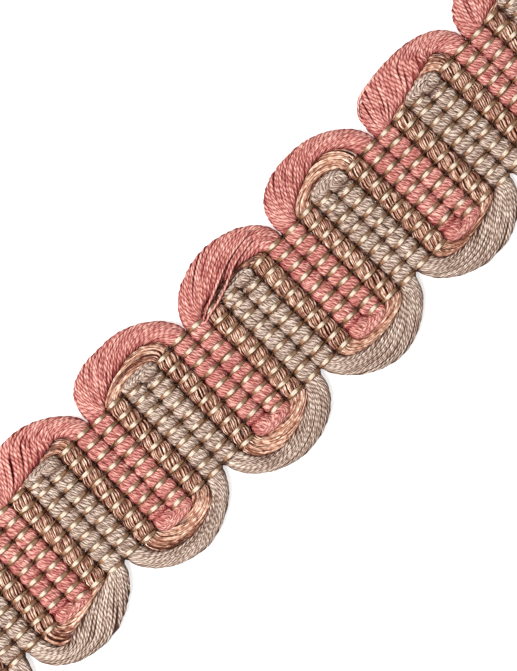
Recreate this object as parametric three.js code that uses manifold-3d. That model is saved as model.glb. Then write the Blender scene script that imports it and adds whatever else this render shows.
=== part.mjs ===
// A cut length of scalloped gimp trimming, lying flat. Three bundles of yarn wind back and forth across the tape.
// Nine warp lines hold them side by side as ribs, and outside the warps each bundle turns in a loop.
// The loops lie one inside the next and make the scallops on both edges.
// Millimetres, +Z up, X along the tape and Y across it. The origin is under the middle of the whole piece.
import * as THREE from 'three';
import Module from 'manifold-3d';

const wasm = await Module();
wasm.setup();

// Driving sizes
const REPEAT = 19.36; // length of tape from one scallop to the next
const WOVEN_WIDTH = 16.86; // from the first warp line to the last
const WARP_LINES = 9;
const CLEARANCE = 0.3; // between neighbouring bundles, and under the warps
const LIE_RADIUS = 1300; // the tape lies in a faint curve, with the rose loops on its inner side
const MIDDLE_Y = 0.57; // the whole outline's middle, before it is moved to the origin

// The ribs: one repeat is two rose, one copper, two taupe and one copper rib
const RIBS_A_REPEAT = 6;
const RIB_PITCH = REPEAT / RIBS_A_REPEAT;
const FIRST_RIB = -20.5; // each rib is numbered by its place, in rib pitches from the middle
const LAST_RIB = 20.5;
const BULGE_HALF_WIDTH = (RIB_PITCH - CLEARANCE) / 2;
const BULGE_TOP = 2.6;
const PINCH_HALF_WIDTH = 1.2; // a warp line draws the rib in to this
const PINCH_TOP = 1.45;

// The warp lines
const WARP_PITCH = WOVEN_WIDTH / (WARP_LINES - 1);
const WARP_WIDTH = 0.6;
const WARP_BOTTOM = 2.1;
const WARP_TOP = 2.4;
const WARP_STEPS = 8;
const SELVEDGE = WOVEN_WIDTH / 2 + WARP_WIDTH / 2; // the turns start here, measured from the middle line

// How far the turns within a pair of ribs, and the copper arcs round them, reach past the selvedge
const ROSE_EDGE = { turnReach: 1.15, arcReach: 3.15 };
const TAUPE_EDGE = { turnReach: 1.55, arcReach: 3.7 };
const TURN_OPENING = 0.5; // the reach of the slit between a pair of ribs
const TURN = { top: 2.3, steps: 6 };
const ARC = { top: 1.9, steps: 12 };
const LOOP = { top: 2.2, steps: 18 };
const EVEN_ROUND = 2; // the exponent of a plain ellipse

// The scallops from left to right. A roundness over 2 makes a fuller shoulder than an ellipse has.
const ROSE_SCALLOPS = [
  { reach: 6.8, leftRound: 2.4, rightRound: 1.8 },
  { reach: 6.9, leftRound: 2.2, rightRound: 2.0 },
  { reach: 6.85, leftRound: 2.2, rightRound: 1.75 },
  { reach: 7.2, leftRound: 3.0, rightRound: 1.8 },
  { reach: 6.85, leftRound: 1.9, rightRound: 2.0 },
  { reach: 7.5, leftRound: 2.8, rightRound: 1.8 },
  { reach: 6.55, leftRound: 3.2, rightRound: 2.2 },
  { reach: 6.8, leftRound: 2.6, rightRound: 1.8 },
];
const TAUPE_SCALLOPS = [
  { reach: 6.9, leftRound: 1.7, rightRound: 2.1 },
  { reach: 6.85, leftRound: 2.1, rightRound: 1.7 },
  { reach: 6.85, leftRound: 1.7, rightRound: 1.7 },
  { reach: 7.1, leftRound: 1.65, rightRound: 2.1 },
  { reach: 7.1, leftRound: 1.5, rightRound: 1.75 },
  { reach: 6.7, leftRound: 1.6, rightRound: 2.1 },
  { reach: 7.1, leftRound: 1.6, rightRound: 2.0 },
  { reach: 7, leftRound: 1.7, rightRound: 2.0 },
];

// The ends are cut straight across, half a rib pitch past the last ribs
const LEFT_CUT = (FIRST_RIB - 0.5) * RIB_PITCH;
const RIGHT_CUT = (LAST_RIB + 0.5) * RIB_PITCH;

// A bundle's cross-section has a flat foot. Each corner is a share of the way across and of the height.
const SECTION = [
  { across: 0.22, up: 0 },
  { across: 0.78, up: 0 },
  { across: 1, up: 0.5 },
  { across: 0.78, up: 1 },
  { across: 0.22, up: 1 },
  { across: 0, up: 0.5 },
];

// A warp line's cross-section is a plain rectangle.
const BAND = [
  { across: 0, up: 0 },
  { across: 1, up: 0 },
  { across: 1, up: 1 },
  { across: 0, up: 1 },
];

const ROSE = { color: 0xc8777a, roughness: 0.75, metalness: 0 };
const COPPER = { color: 0xc9926e, roughness: 0.45, metalness: 0 };
const TAUPE = { color: 0xb5a498, roughness: 0.75, metalness: 0 };
const WARP = { color: 0xd8c6a0, roughness: 0.4, metalness: 0 };

// A point of the flat, straight tape, moved to where it is in the tape's faint curve.
function laid(x, y, z) {
  const angle = x / LIE_RADIUS;
  const radius = LIE_RADIUS - y;
  return [radius * Math.sin(angle), LIE_RADIUS - radius * Math.cos(angle) - MIDDLE_Y, z];
}

// A closed body through stations, each with a left and a right edge point and a height range.
function sweep(stations, section) {
  const positions = [];
  for (const { left, right, bottom, top } of stations) {
    for (const { across, up } of section) {
      const x = left.x + (right.x - left.x) * across;
      const y = left.y + (right.y - left.y) * across;
      positions.push(...laid(x, y, bottom + (top - bottom) * up));
    }
  }
  const sides = section.length;
  const index = [];
  for (let s = 0; s < stations.length - 1; s += 1) {
    for (let k = 0; k < sides; k += 1) {
      const here = s * sides + k;
      const beside = s * sides + ((k + 1) % sides);
      index.push(here, beside + sides, beside, here, here + sides, beside + sides);
    }
  }
  const lastRing = (stations.length - 1) * sides;
  for (let k = 1; k < sides - 1; k += 1) {
    index.push(0, k, k + 1);
    index.push(lastRing, lastRing + k + 1, lastRing + k);
  }
  const geometry = new THREE.BufferGeometry();
  geometry.setAttribute('position', new THREE.Float32BufferAttribute(positions, 3));
  geometry.setIndex(index);
  return geometry;
}

// The stations of one rib. goingUp runs towards the rose loops, where the rib's left edge has the smaller x.
function ribStations(rib, goingUp) {
  const x = rib * RIB_PITCH;
  const way = goingUp ? 1 : -1;
  const stations = [];
  const lastStep = 2 * (WARP_LINES - 1);
  for (let step = 0; step <= lastStep; step += 1) {
    const atWarp = step % 2 === 0;
    const halfWidth = atWarp ? PINCH_HALF_WIDTH : BULGE_HALF_WIDTH;
    const along = (step / lastStep - 0.5) * WOVEN_WIDTH;
    const y = way * (step % lastStep === 0 ? Math.sign(along) * SELVEDGE : along);
    stations.push({
      left: { x: x - way * halfWidth, y },
      right: { x: x + way * halfWidth, y },
      bottom: 0,
      top: atWarp ? PINCH_TOP : BULGE_TOP,
    });
  }
  return stations;
}

// A point of a half oval with its own roundness on each side. share runs from its left foot, 0, to its right foot, 1.
function ovalPoint(oval, side, share) {
  const angle = Math.PI * share;
  const c = Math.cos(angle);
  const power = 2 / (c > 0 ? oval.leftRound : oval.rightRound);
  const reach = oval.reach * Math.sin(angle) ** power;
  return {
    x: oval.centre - Math.sign(c) * oval.halfSpan * Math.abs(c) ** power,
    y: side * (SELVEDGE + reach),
  };
}

// The stations of a turn from one rib to another, between an outer and an inner half oval. side is 1 at the rose edge.
function turnStations(fromRib, toRib, side, outerShape, innerReach, { top, steps }) {
  const centre = ((fromRib + toRib) / 2) * RIB_PITCH;
  const halfRun = ((toRib - fromRib) / 2) * RIB_PITCH;
  const outer = { ...outerShape, centre, halfSpan: halfRun + BULGE_HALF_WIDTH };
  const inner = {
    leftRound: EVEN_ROUND,
    rightRound: EVEN_ROUND,
    centre,
    reach: innerReach,
    halfSpan: halfRun - BULGE_HALF_WIDTH,
  };
  const stations = [];
  for (let step = 1; step < steps; step += 1) {
    const out = ovalPoint(outer, side, step / steps);
    const within = ovalPoint(inner, side, step / steps);
    stations.push({ left: side > 0 ? out : within, right: side > 0 ? within : out, bottom: 0, top });
  }
  return stations;
}

function evenShape(reach) {
  return { reach, leftRound: EVEN_ROUND, rightRound: EVEN_ROUND };
}

// The three kinds of turn: the inmost one within a pair of ribs, the copper arc round it, and the scallop.
function closeTurn(rib, side) {
  const edge = side > 0 ? ROSE_EDGE : TAUPE_EDGE;
  return turnStations(rib, rib + 1, side, evenShape(edge.turnReach), TURN_OPENING, TURN);
}

function copperArc(rib, side) {
  const edge = side > 0 ? ROSE_EDGE : TAUPE_EDGE;
  return turnStations(rib, rib + 3, side, evenShape(edge.arcReach), edge.turnReach + CLEARANCE, ARC);
}

function scallop(rib, side, shape) {
  const edge = side > 0 ? ROSE_EDGE : TAUPE_EDGE;
  return turnStations(rib, rib + 5, side, shape, edge.arcReach + CLEARANCE, LOOP);
}

function solidOf(geometry) {
  return new wasm.Manifold(new wasm.Mesh({
    numProp: 3,
    vertProperties: geometry.getAttribute('position').array,
    triVerts: new Uint32Array(geometry.getIndex().array),
  }));
}

function geometryOf(solid) {
  const { vertProperties, triVerts } = solid.getMesh();
  const geometry = new THREE.BufferGeometry();
  geometry.setAttribute('position', new THREE.BufferAttribute(vertProperties, 3));
  geometry.setIndex(new THREE.BufferAttribute(triVerts, 1));
  return geometry;
}

// The block of space between the two cuts, as a solid that a longer bundle is cut with.
function cutBlock() {
  const reach = 2 * WOVEN_WIDTH;
  const ends = [LEFT_CUT, RIGHT_CUT].map((x) => ({
    left: { x, y: reach },
    right: { x, y: -reach },
    bottom: -BULGE_TOP,
    top: 2 * BULGE_TOP,
  }));
  return solidOf(sweep(ends, BAND));
}

function bundle(name, material, stations) {
  const whole = solidOf(sweep(stations, SECTION));
  const mesh = new THREE.Mesh(geometryOf(whole.intersect(cutBlock())), new THREE.MeshStandardMaterial(material));
  mesh.name = name;
  return mesh;
}

// Rose: down one rib, round the close turn, up the next, and over the scallop to the pair after.
function roseBundle() {
  const stations = [];
  ROSE_SCALLOPS.forEach((shape, n) => {
    const pair = FIRST_RIB + n * RIBS_A_REPEAT;
    stations.push(...scallop(pair - RIBS_A_REPEAT + 1, 1, shape));
    stations.push(...ribStations(pair, false), ...closeTurn(pair, -1), ...ribStations(pair + 1, true));
  });
  return bundle('rose_bundle', ROSE, stations);
}

// Taupe: the same the other way up, three ribs further on.
function taupeBundle() {
  const stations = [];
  TAUPE_SCALLOPS.forEach((shape, n) => {
    const pair = FIRST_RIB + 3 + n * RIBS_A_REPEAT;
    stations.push(...scallop(pair - RIBS_A_REPEAT + 1, -1, shape));
    stations.push(...ribStations(pair, true), ...closeTurn(pair, 1), ...ribStations(pair + 1, false));
  });
  return bundle('taupe_bundle', TAUPE, stations);
}

// Copper: single ribs between the pairs, with an arc at both edges.
function copperBundle() {
  const stations = [];
  TAUPE_SCALLOPS.forEach((shape, n) => {
    const rib = FIRST_RIB + 2 + n * RIBS_A_REPEAT;
    stations.push(...copperArc(rib - 3, -1), ...ribStations(rib, true));
    stations.push(...copperArc(rib, 1), ...ribStations(rib + 3, false));
  });
  return bundle('copper_bundle', COPPER, stations);
}

// One warp line: a flat band of fine ends across all the ribs, in the grooves that it pulls into them.
function warpLine(line) {
  const y = WOVEN_WIDTH / 2 - line * WARP_PITCH;
  const stations = [];
  for (let step = 0; step <= WARP_STEPS; step += 1) {
    const x = LEFT_CUT + ((RIGHT_CUT - LEFT_CUT) * step) / WARP_STEPS;
    stations.push({
      left: { x, y: y + WARP_WIDTH / 2 },
      right: { x, y: y - WARP_WIDTH / 2 },
      bottom: WARP_BOTTOM,
      top: WARP_TOP,
    });
  }
  const mesh = new THREE.Mesh(sweep(stations, BAND), new THREE.MeshStandardMaterial(WARP));
  mesh.name = `warp_line_${line + 1}`;
  return mesh;
}

const tape = new THREE.Group();
tape.add(roseBundle(), copperBundle(), taupeBundle());
for (let line = 0; line < WARP_LINES; line += 1) tape.add(warpLine(line));

export default tape;
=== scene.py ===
import logging
import math
import random
from dataclasses import dataclass, fields
from enum import Enum

import bpy
import numpy as np
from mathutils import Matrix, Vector


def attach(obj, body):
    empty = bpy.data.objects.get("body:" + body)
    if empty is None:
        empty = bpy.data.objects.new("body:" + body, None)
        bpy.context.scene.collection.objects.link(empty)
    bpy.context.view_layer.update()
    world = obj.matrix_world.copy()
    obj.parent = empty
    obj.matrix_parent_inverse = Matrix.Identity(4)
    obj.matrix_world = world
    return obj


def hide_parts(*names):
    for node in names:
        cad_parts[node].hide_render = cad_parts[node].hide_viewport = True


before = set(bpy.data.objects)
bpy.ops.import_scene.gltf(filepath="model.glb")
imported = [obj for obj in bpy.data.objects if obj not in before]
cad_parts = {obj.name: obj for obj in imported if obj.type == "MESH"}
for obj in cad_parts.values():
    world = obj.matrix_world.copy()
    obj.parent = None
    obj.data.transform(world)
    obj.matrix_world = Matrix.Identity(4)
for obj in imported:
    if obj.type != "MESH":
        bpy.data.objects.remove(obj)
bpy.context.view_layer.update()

log = logging.getLogger("trim_tape")

MM = 0.001  # every size below is in millimetres, and Blender's unit is the metre
YARN_MAP = "Yarn"  # u: millimetres along a yarn, v: once round it
BAKE_MAP = "OFBake"
# Of a yarn, x: the side that faces out of its bundle, in turns, y: how tightly it lies, which sets the
# painted shade in the grooves beside it, z: how much painted shade it has where it lies deep.
# Of a warp thread, x: its place over the rib, which sets its painted highlight and shade, y: that float's
# chance, z: 1 if it is a plain one.
LIE = "lie"
MIX_SOCKETS = ("Factor_Float", "A_Color", "B_Color")
SEED = 1845
MAP_REACH = 4000  # millimetres within which the yarn maps start, so that no two yarns look the same
ELLIPSE = 2.0  # roundness of an even oval

Colour = tuple[float, float, float]
Socket = bpy.types.NodeSocket
Value = Socket | float


class Edge(Enum):
    """The tape's two scalloped edges, by the sign of y."""

    ROSE = 1
    TAUPE = -1


class Heading(Enum):
    """Which way a bundle goes along a rib."""

    TO_ROSE_EDGE = 1
    TO_TAUPE_EDGE = -1


@dataclass(frozen=True)
class Layout:
    """The tape's plan: where its ribs, warp lines and edges are.

    In each repeat a pair of rose ribs comes first, then a copper one, a pair of taupe ones and a copper one.
    """

    repeat: float = 19.36
    ribs_a_repeat: int = 6
    copper_place: int = 2
    taupe_place: int = 3
    arc_ribs: int = 3  # from one foot of a copper arc to the other
    scallop_ribs: int = 5  # from one foot of a scallop to the other
    first_rib: float = -20.5  # in rib pitches from the middle
    last_rib: float = 20.5
    woven_width: float = 16.86
    warp_lines: int = 9
    warp_width: float = 0.6
    lie_radius: float = 1300.0  # of its faint curve
    middle_y: float = 0.57  # how far its middle line is below y = 0 at x = 0

    @property
    def rib_pitch(self) -> float:
        """Distance from one rib to the next."""
        return self.repeat / self.ribs_a_repeat

    @property
    def rib_count(self) -> int:
        """How many ribs there are from cut to cut."""
        return int(self.last_rib - self.first_rib) + 1

    @property
    def warp_pitch(self) -> float:
        """Distance from one warp line to the next."""
        return self.woven_width / (self.warp_lines - 1)

    @property
    def selvedge(self) -> float:
        """Distance from the middle line to where the turns start."""
        return self.woven_width / 2 + self.warp_width / 2

    @property
    def cut(self) -> float:
        """Distance from the middle to each cut end."""
        return (self.last_rib + 0.5) * self.rib_pitch

    def line_y(self, line: int) -> float:
        """Where a warp line lies, counted from the rose edge."""
        return self.woven_width / 2 - line * self.warp_pitch

    def laid(self, points: np.ndarray) -> np.ndarray:
        """Moves points of the flat, straight tape to where they are in its faint curve.

        Args:
            points: rows of x, y and z.

        Returns:
            The moved rows.
        """
        angle = points[:, 0] / self.lie_radius
        radius = self.lie_radius - points[:, 1]
        return np.stack(
            [radius * np.sin(angle), self.lie_radius - radius * np.cos(angle) - self.middle_y, points[:, 2]],
            axis=1,
        )


LAYOUT = Layout()


@dataclass(frozen=True)
class Oval:
    """A half oval over a run of ribs, with its own roundness on each side."""

    centre: float
    half_span: float
    reach: float
    left_round: float = ELLIPSE
    right_round: float = ELLIPSE
    lean: float = 0.0  # how far its peak is to the right of its middle

    def points(self, share: np.ndarray, edge: Edge) -> np.ndarray:
        """Points along the half oval.

        Args:
            share: how far along it each point is, from 0 at its left foot to 1 at its right one.
            edge: the edge of the tape that it stands on.

        Returns:
            Rows of x and y.
        """
        cosine = np.cos(np.pi * share)
        power = 2 / np.where(cosine > 0, self.left_round, self.right_round)
        half_span = self.half_span + self.lean * np.sign(cosine)
        x = self.centre + self.lean - np.sign(cosine) * half_span * np.abs(cosine) ** power
        y = edge.value * (LAYOUT.selvedge + self.reach * np.sin(np.pi * share) ** power)
        return np.stack([x, y], axis=1)


@dataclass
class Stations:
    """Cross-sections along a bundle, from its start to its end, one row each."""

    left: np.ndarray  # x and y of the edge on the left of the way it goes
    right: np.ndarray
    low: np.ndarray  # the lowest z at the left and at the right edge
    high: np.ndarray
    squareness: np.ndarray  # exponent of the section's outline, 2 for an ellipse
    flatness: np.ndarray  # 0 where the section is round, 1 where it is wide and low
    yarn_scale: np.ndarray  # how thick a yarn is, beside 1 under a warp line
    side_shade: np.ndarray  # painted shade at the left and at the right edge, where they lie deep between their neighbours
    pinch: np.ndarray  # how deep it is drawn in by a warp line, or lies under another turn, which also sets its painted shade
    laid_even: np.ndarray  # how closely its yarns are pressed together, which also lessens the painted shade in their grooves
    twist_rate: np.ndarray  # radians a millimetre

    @staticmethod
    def joined(runs: list["Stations"]) -> "Stations":
        """One bundle's stations from those of its ribs and turns.

        Args:
            runs: the runs in the order in which the bundle goes through them.

        Returns:
            All their rows.
        """
        names = [entry.name for entry in fields(Stations)]
        return Stations(**{name: np.concatenate([getattr(run, name) for run in runs]) for name in names})

    @property
    def middle(self) -> np.ndarray:
        """x and y of each section's middle."""
        return (self.left + self.right) / 2

    @property
    def half(self) -> np.ndarray:
        """The way in x and y from each section's middle to its left edge."""
        return (self.left - self.right) / 2

    def between(self, sides: np.ndarray, p: np.ndarray) -> np.ndarray:
        """A value of the two edges at places between them.

        Args:
            sides: the value at the left and at the right edge.
            p: the place across each section, from -1 at the right edge to 1 at the left one.

        Returns:
            The value at each station.
        """
        share = (1 + p) / 2
        return sides[:, 0] * share + sides[:, 1] * (1 - share)

    def along(self) -> np.ndarray:
        """Millimetres from the start of the bundle to each station, on its middle line."""
        steps = np.linalg.norm(np.diff(self.middle, axis=0), axis=1)
        return np.concatenate([[0.0], np.cumsum(steps)])

    def twist(self) -> np.ndarray:
        """The section's turn at each station, in radians."""
        steps = np.diff(self.along()) * (self.twist_rate[1:] + self.twist_rate[:-1]) / 2
        return np.concatenate([[0.0], np.cumsum(steps)])


@dataclass(frozen=True)
class Pair:
    """How a rib stands to the other rib of its pair, and how it goes over into their close turn.

    The partner is on its left or right, as seen along its way. The turn is at its start or at its end. One of
    the two ribs isn't held down there by a float, because the turn swells over its last warp line.
    """

    on_left: bool = False
    on_right: bool = False
    turn_at_start: bool = False
    turn_at_end: bool = False
    held: bool = True


@dataclass(frozen=True)
class RibForm:
    """How high and wide a rib is at its bumps and under the warp lines."""

    bulge_top: float = 2.55
    pinch_top: float = 1.85
    pinch_bottom: float = 0.4
    bulge_half_width: float = 1.86
    pinch_half_width: float = 1.25
    steps_a_bump: int = 4
    boxiness: float = 0.75
    squareness: float = 2.5
    flatness: float = 0.4
    yarn_swell: float = 0.08  # how much thicker its yarns are at a bump
    partner_shade: float = 0.5  # how much painted shade the groove to a rib of the same yarn has, beside 1 to any other
    turn_fill: float = 0.25  # how far its end swells towards its partner, where they turn
    turn_shift: float = 0.6  # how far in from its place the warp line there lies
    free_shift: float = 1.05  # and where the turn swells over it, how far in the groove beside it lies

    def _swell(self, along: np.ndarray, lines: np.ndarray) -> np.ndarray:
        """How far the rib swells between the lines that hold it down.

        Args:
            along: millimetres from its start.
            lines: where those lines are.

        Returns:
            0 at a line and 1 halfway between two, or past the first and the last.
        """
        after = np.clip(np.searchsorted(lines, along, side="right"), 1, len(lines) - 1)
        share = (along - lines[after - 1]) / (lines[after] - lines[after - 1])
        bump = np.sin(np.pi * np.clip(share, 0, 1))
        beyond = np.maximum(lines[0] - along, along - lines[-1]) / (LAYOUT.warp_pitch / 2)
        return np.maximum(bump, np.sin(np.pi / 2 * np.clip(beyond, 0, 1))) ** self.boxiness

    def stations(self, rib: float, heading: Heading, twist_rate: float, pair: Pair = Pair()) -> Stations:
        """The cross-sections of one rib.

        Args:
            rib: its place, in rib pitches from the middle.
            heading: which way the bundle goes there.
            twist_rate: radians a millimetre.
            pair: how it stands to the other rib of its pair, where it has one.

        Returns:
            A row for each warp line and for each step between.
        """
        count = (LAYOUT.warp_lines - 1) * self.steps_a_bump
        along = np.arange(count + 1) / count * LAYOUT.woven_width
        lines = np.arange(LAYOUT.warp_lines) * LAYOUT.warp_pitch
        shift = self.turn_shift if pair.held else self.free_shift
        lines[0] += shift * pair.turn_at_start
        lines[-1] -= shift * pair.turn_at_end
        swell = self._swell(along, lines)
        from_turn = along if pair.turn_at_start else LAYOUT.woven_width - along
        at_turn = np.clip(1 - from_turn / shift, 0, 1) * (pair.turn_at_start or pair.turn_at_end)
        fill = self.turn_fill * at_turn
        half = self.pinch_half_width + (self.bulge_half_width - self.pinch_half_width) * swell
        top = self.pinch_top + (self.bulge_top - self.pinch_top) * swell
        bottom = self.pinch_bottom * (1 - swell)
        way = heading.value
        x, y = rib * LAYOUT.rib_pitch, way * (along - LAYOUT.woven_width / 2)
        # Painted shade at its two sides, less beside its partner.
        depths = [self.partner_shade if partner else 1.0 for partner in (pair.on_left, pair.on_right)]
        even = np.ones(count + 1)
        return Stations(
            left=np.stack([x - way * (half + fill * pair.on_left), y], axis=1),
            right=np.stack([x + way * (half + fill * pair.on_right), y], axis=1),
            low=np.stack([bottom, bottom], axis=1),
            high=np.stack([top, top], axis=1),
            squareness=self.squareness * even,
            flatness=self.flatness * even,
            yarn_scale=1 + self.yarn_swell * swell,
            side_shade=even[:, None] * depths,
            pinch=1 - swell,
            laid_even=even,
            twist_rate=twist_rate * even,
        )


RIB_FORM = RibForm()


@dataclass(frozen=True)
class Turn:
    """A bundle's way round from one rib to another, outside the warp lines."""

    outer: Oval
    inner: Oval
    edge: Edge
    steps: int
    outer_top: float
    inner_top: float
    inner_low: float = 0.0
    flatness: float = 0.9
    squareness: float = 2.2
    yarn_swell: float = 0.06  # how much thicker its yarns are than a rib's
    twist_rate: float = 0.0
    shade: float = 0.0  # how deep under another turn it lies, painted as shade
    outer_shade: float = 0.0  # and the painted shade at its outer edge
    inner_shade: float = 0.6  # and at its inner edge

    def stations(self) -> Stations:
        """The cross-sections of the turn, without those that the ribs have at its feet."""
        share = np.arange(1, self.steps) / self.steps
        outer = self.outer.points(share, self.edge)
        inner = self.inner.points(share, self.edge)
        rise = np.sin(np.pi * share) ** 0.5
        rib = RIB_FORM
        tops = [rib.bulge_top + (top - rib.bulge_top) * rise for top in (self.outer_top, self.inner_top)]
        pairs = (
            (outer, inner),
            (np.zeros_like(share), self.inner_low * rise),
            (tops[0], tops[1]),
            # painted shade at the outer and at the inner edge
            (np.maximum(1 - rise, self.outer_shade), 1 - (1 - self.inner_shade) * rise),
        )
        plan, low, high, depth = (pair if self.edge is Edge.ROSE else pair[::-1] for pair in pairs)
        return Stations(
            left=plan[0],
            right=plan[1],
            low=np.stack(low, axis=1),
            high=np.stack(high, axis=1),
            squareness=np.full(len(share), self.squareness),
            flatness=self.flatness * rise + rib.flatness * (1 - rise),
            yarn_scale=1 + rib.yarn_swell + self.yarn_swell * rise,
            side_shade=np.stack(depth, axis=1),
            pinch=self.shade * rise,
            laid_even=1 - rise,
            twist_rate=np.full(len(share), self.twist_rate),
        )


@dataclass(frozen=True)
class Scallop:
    """One big outer loop, and how the smaller turns lie within it."""

    reach: float
    left_round: float
    right_round: float
    inner: float  # how far out its inner edge lies
    lean: float  # how far that edge's peak is from the middle, as a share of the furthest
    turn: float  # the reach of the close turn within it


# From left to right. A roundness over 2 makes a fuller shoulder than an ellipse has.
ROSE_SCALLOPS = (
    Scallop(6.8, 2.4, 1.8, inner=2.9, lean=0.3, turn=1.2),
    Scallop(6.9, 2.2, 2.0, inner=2.7, lean=0.5, turn=1.1),
    Scallop(6.85, 2.2, 1.75, inner=1.8, lean=1.0, turn=1.0),
    Scallop(7.2, 3.0, 1.8, inner=3.1, lean=0.4, turn=1.1),
    Scallop(6.85, 1.9, 2.0, inner=1.1, lean=0.0, turn=0.7),
    Scallop(7.5, 2.8, 1.8, inner=3.8, lean=0.4, turn=1.8),
    Scallop(6.55, 2.75, 2.2, inner=2.3, lean=1.0, turn=1.5),
    Scallop(6.8, 2.6, 1.8, inner=2.0, lean=0.9, turn=1.2),
)
TAUPE_SCALLOPS = (
    Scallop(6.9, 1.85, 2.1, inner=3.0, lean=0.3, turn=1.5),
    Scallop(6.85, 2.25, 1.7, inner=2.9, lean=1.0, turn=1.0),
    Scallop(6.85, 1.85, 1.7, inner=3.9, lean=0.1, turn=1.6),
    Scallop(7.1, 1.8, 2.1, inner=3.8, lean=0.3, turn=1.6),
    Scallop(7.1, 1.65, 1.75, inner=2.5, lean=0.1, turn=1.6),
    Scallop(6.7, 1.75, 2.1, inner=2.1, lean=0.5, turn=1.5),
    Scallop(7.1, 1.75, 2.0, inner=2.6, lean=0.6, turn=1.5),
    Scallop(7.0, 1.8, 2.0, inner=3.0, lean=0.3, turn=1.5),
)
NEXT_ROSE_SCALLOPS = ROSE_SCALLOPS[1:] + ROSE_SCALLOPS[-1:]  # after each taupe one


@dataclass(frozen=True)
class EdgeForm:
    """How the turns of one edge are made. On the rose edge the inner ones lean right, on the other left."""

    edge: Edge
    feet: tuple[float, float]  # how far the scallop's outline starts outside its two ribs' middles
    half_width: float = 1.85  # half of a foot's width elsewhere, where no gap is left
    turn_opening: float = -0.5  # the close turn swells over the groove between its ribs
    turn_outer_top: float = 2.1
    turn_inner_top: float = 2.5
    turn_over: float = 0.6  # how far the close turn goes over the copper arc
    arc_top: float = 2.0  # of a copper arc that lies in full light
    arc_sink: float = 0.8  # how much lower one lies that is all in the scallop's shade
    arc_open: float = 3.1  # how far out the scallop's inner edge is where the arc lies in full light
    arc_hidden: float = 1.0  # and where it lies all in shade
    # the least shade of a copper arc, which sinks it and is painted on it
    arc_least_shade: float = 0.2
    arc_under: float = 0.5  # how far the arc goes under the scallop
    scallop_outer_top: float = 1.8
    scallop_inner_top: float = 2.55
    scallop_inner_low: float = 1.0
    # painted shade all over the scallop
    scallop_shade: float = 0.14
    straight_round: float = 0.95  # of the long side of an edge that leans fully
    furthest_lean: float = 4.3
    least_reach: float = 0.1
    least_half_span: float = 0.03

    def _oval(
        self, from_rib: float, to_rib: float, feet: tuple[float, float], reach: float, **shape: float
    ) -> Oval:
        """A half oval over a run of ribs.

        Args:
            from_rib: the rib at its left foot.
            to_rib: the rib at its right foot.
            feet: how far its two feet are outside those ribs' middles.
            reach: how far it stands out.
            **shape: its roundness on each side and its lean, if not even.

        Returns:
            The oval.
        """
        left, right = from_rib * LAYOUT.rib_pitch - feet[0], to_rib * LAYOUT.rib_pitch + feet[1]
        return Oval((left + right) / 2, max((right - left) / 2, self.least_half_span), reach, **shape)

    def _leaning(self, shape: Scallop) -> dict[str, float]:
        """The roundnesses and the lean of a scallop's inner edge.

        Args:
            shape: the scallop.

        Returns:
            The values that an oval takes.
        """
        rounds = (ELLIPSE - (ELLIPSE - self.straight_round) * shape.lean, ELLIPSE)[:: self.edge.value]
        lean = self.edge.value * self.furthest_lean * shape.lean
        return {"left_round": rounds[0], "right_round": rounds[1], "lean": lean}

    def close_turn(self, rib: float, twist_rate: float, shape: Scallop) -> Turn:
        """The inmost turn, from a rib to the one beside it.

        Args:
            rib: the left one of the two.
            twist_rate: radians a millimetre.
            shape: the scallop that it is in.

        Returns:
            The turn.
        """
        half = self.half_width
        return Turn(
            outer=self._oval(rib, rib + 1, (half, half), shape.turn),
            inner=self._oval(rib, rib + 1, (-half, -half), self.turn_opening),
            edge=self.edge,
            steps=10,
            outer_top=self.turn_outer_top,
            inner_top=self.turn_inner_top,
            flatness=0.5,
            twist_rate=twist_rate,
            # painted shade at its outer edge
            outer_shade=0.7,
        )

    def copper_arc(self, rib: float, twist_rate: float, shape: Scallop) -> Turn:
        """The copper turn round the inmost one.

        Args:
            rib: the rib that it starts from.
            twist_rate: radians a millimetre.
            shape: the scallop that it is in.

        Returns:
            The turn.
        """
        half = self.half_width
        far = rib + LAYOUT.arc_ribs
        # How deep the arc lies in the scallop's shade: it sinks the arc, and the turn paints shade on it.
        shade = (self.arc_open - shape.inner) / (self.arc_open - self.arc_hidden)
        shade = min(max(shade, self.arc_least_shade), 1.0)
        top = self.arc_top - self.arc_sink * shade
        return Turn(
            outer=self._oval(rib, far, (half, half), shape.inner + self.arc_under, **self._leaning(shape)),
            inner=self._oval(rib, far, (-half, -half), max(shape.turn - self.turn_over, self.least_reach)),
            edge=self.edge,
            steps=24,
            outer_top=top,
            inner_top=top,
            twist_rate=twist_rate,
            shade=shade,
            # painted shade at its outer and at its inner edge
            outer_shade=0.8,
            inner_shade=1.0,
        )

    def scallop(self, rib: float, twist_rate: float, shape: Scallop) -> Turn:
        """The big outer loop.

        Args:
            rib: the rib that it starts from.
            twist_rate: radians a millimetre.
            shape: its outline, and how it lies on the copper arc.

        Returns:
            The turn.
        """
        half = self.half_width
        far = rib + LAYOUT.scallop_ribs
        rounds = {"left_round": shape.left_round, "right_round": shape.right_round}
        return Turn(
            outer=self._oval(rib, far, self.feet, shape.reach, **rounds),
            inner=self._oval(rib, far, (-half, -half), shape.inner, **self._leaning(shape)),
            edge=self.edge,
            steps=44,
            outer_top=self.scallop_outer_top,
            inner_top=self.scallop_inner_top,
            inner_low=self.scallop_inner_low,
            twist_rate=twist_rate,
            # painted shade all over the scallop
            shade=self.scallop_shade,
        )


ROSE_EDGE = EdgeForm(Edge.ROSE, feet=(1.65, 1.82))
TAUPE_EDGE = EdgeForm(Edge.TAUPE, feet=(1.4, 1.3))


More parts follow.
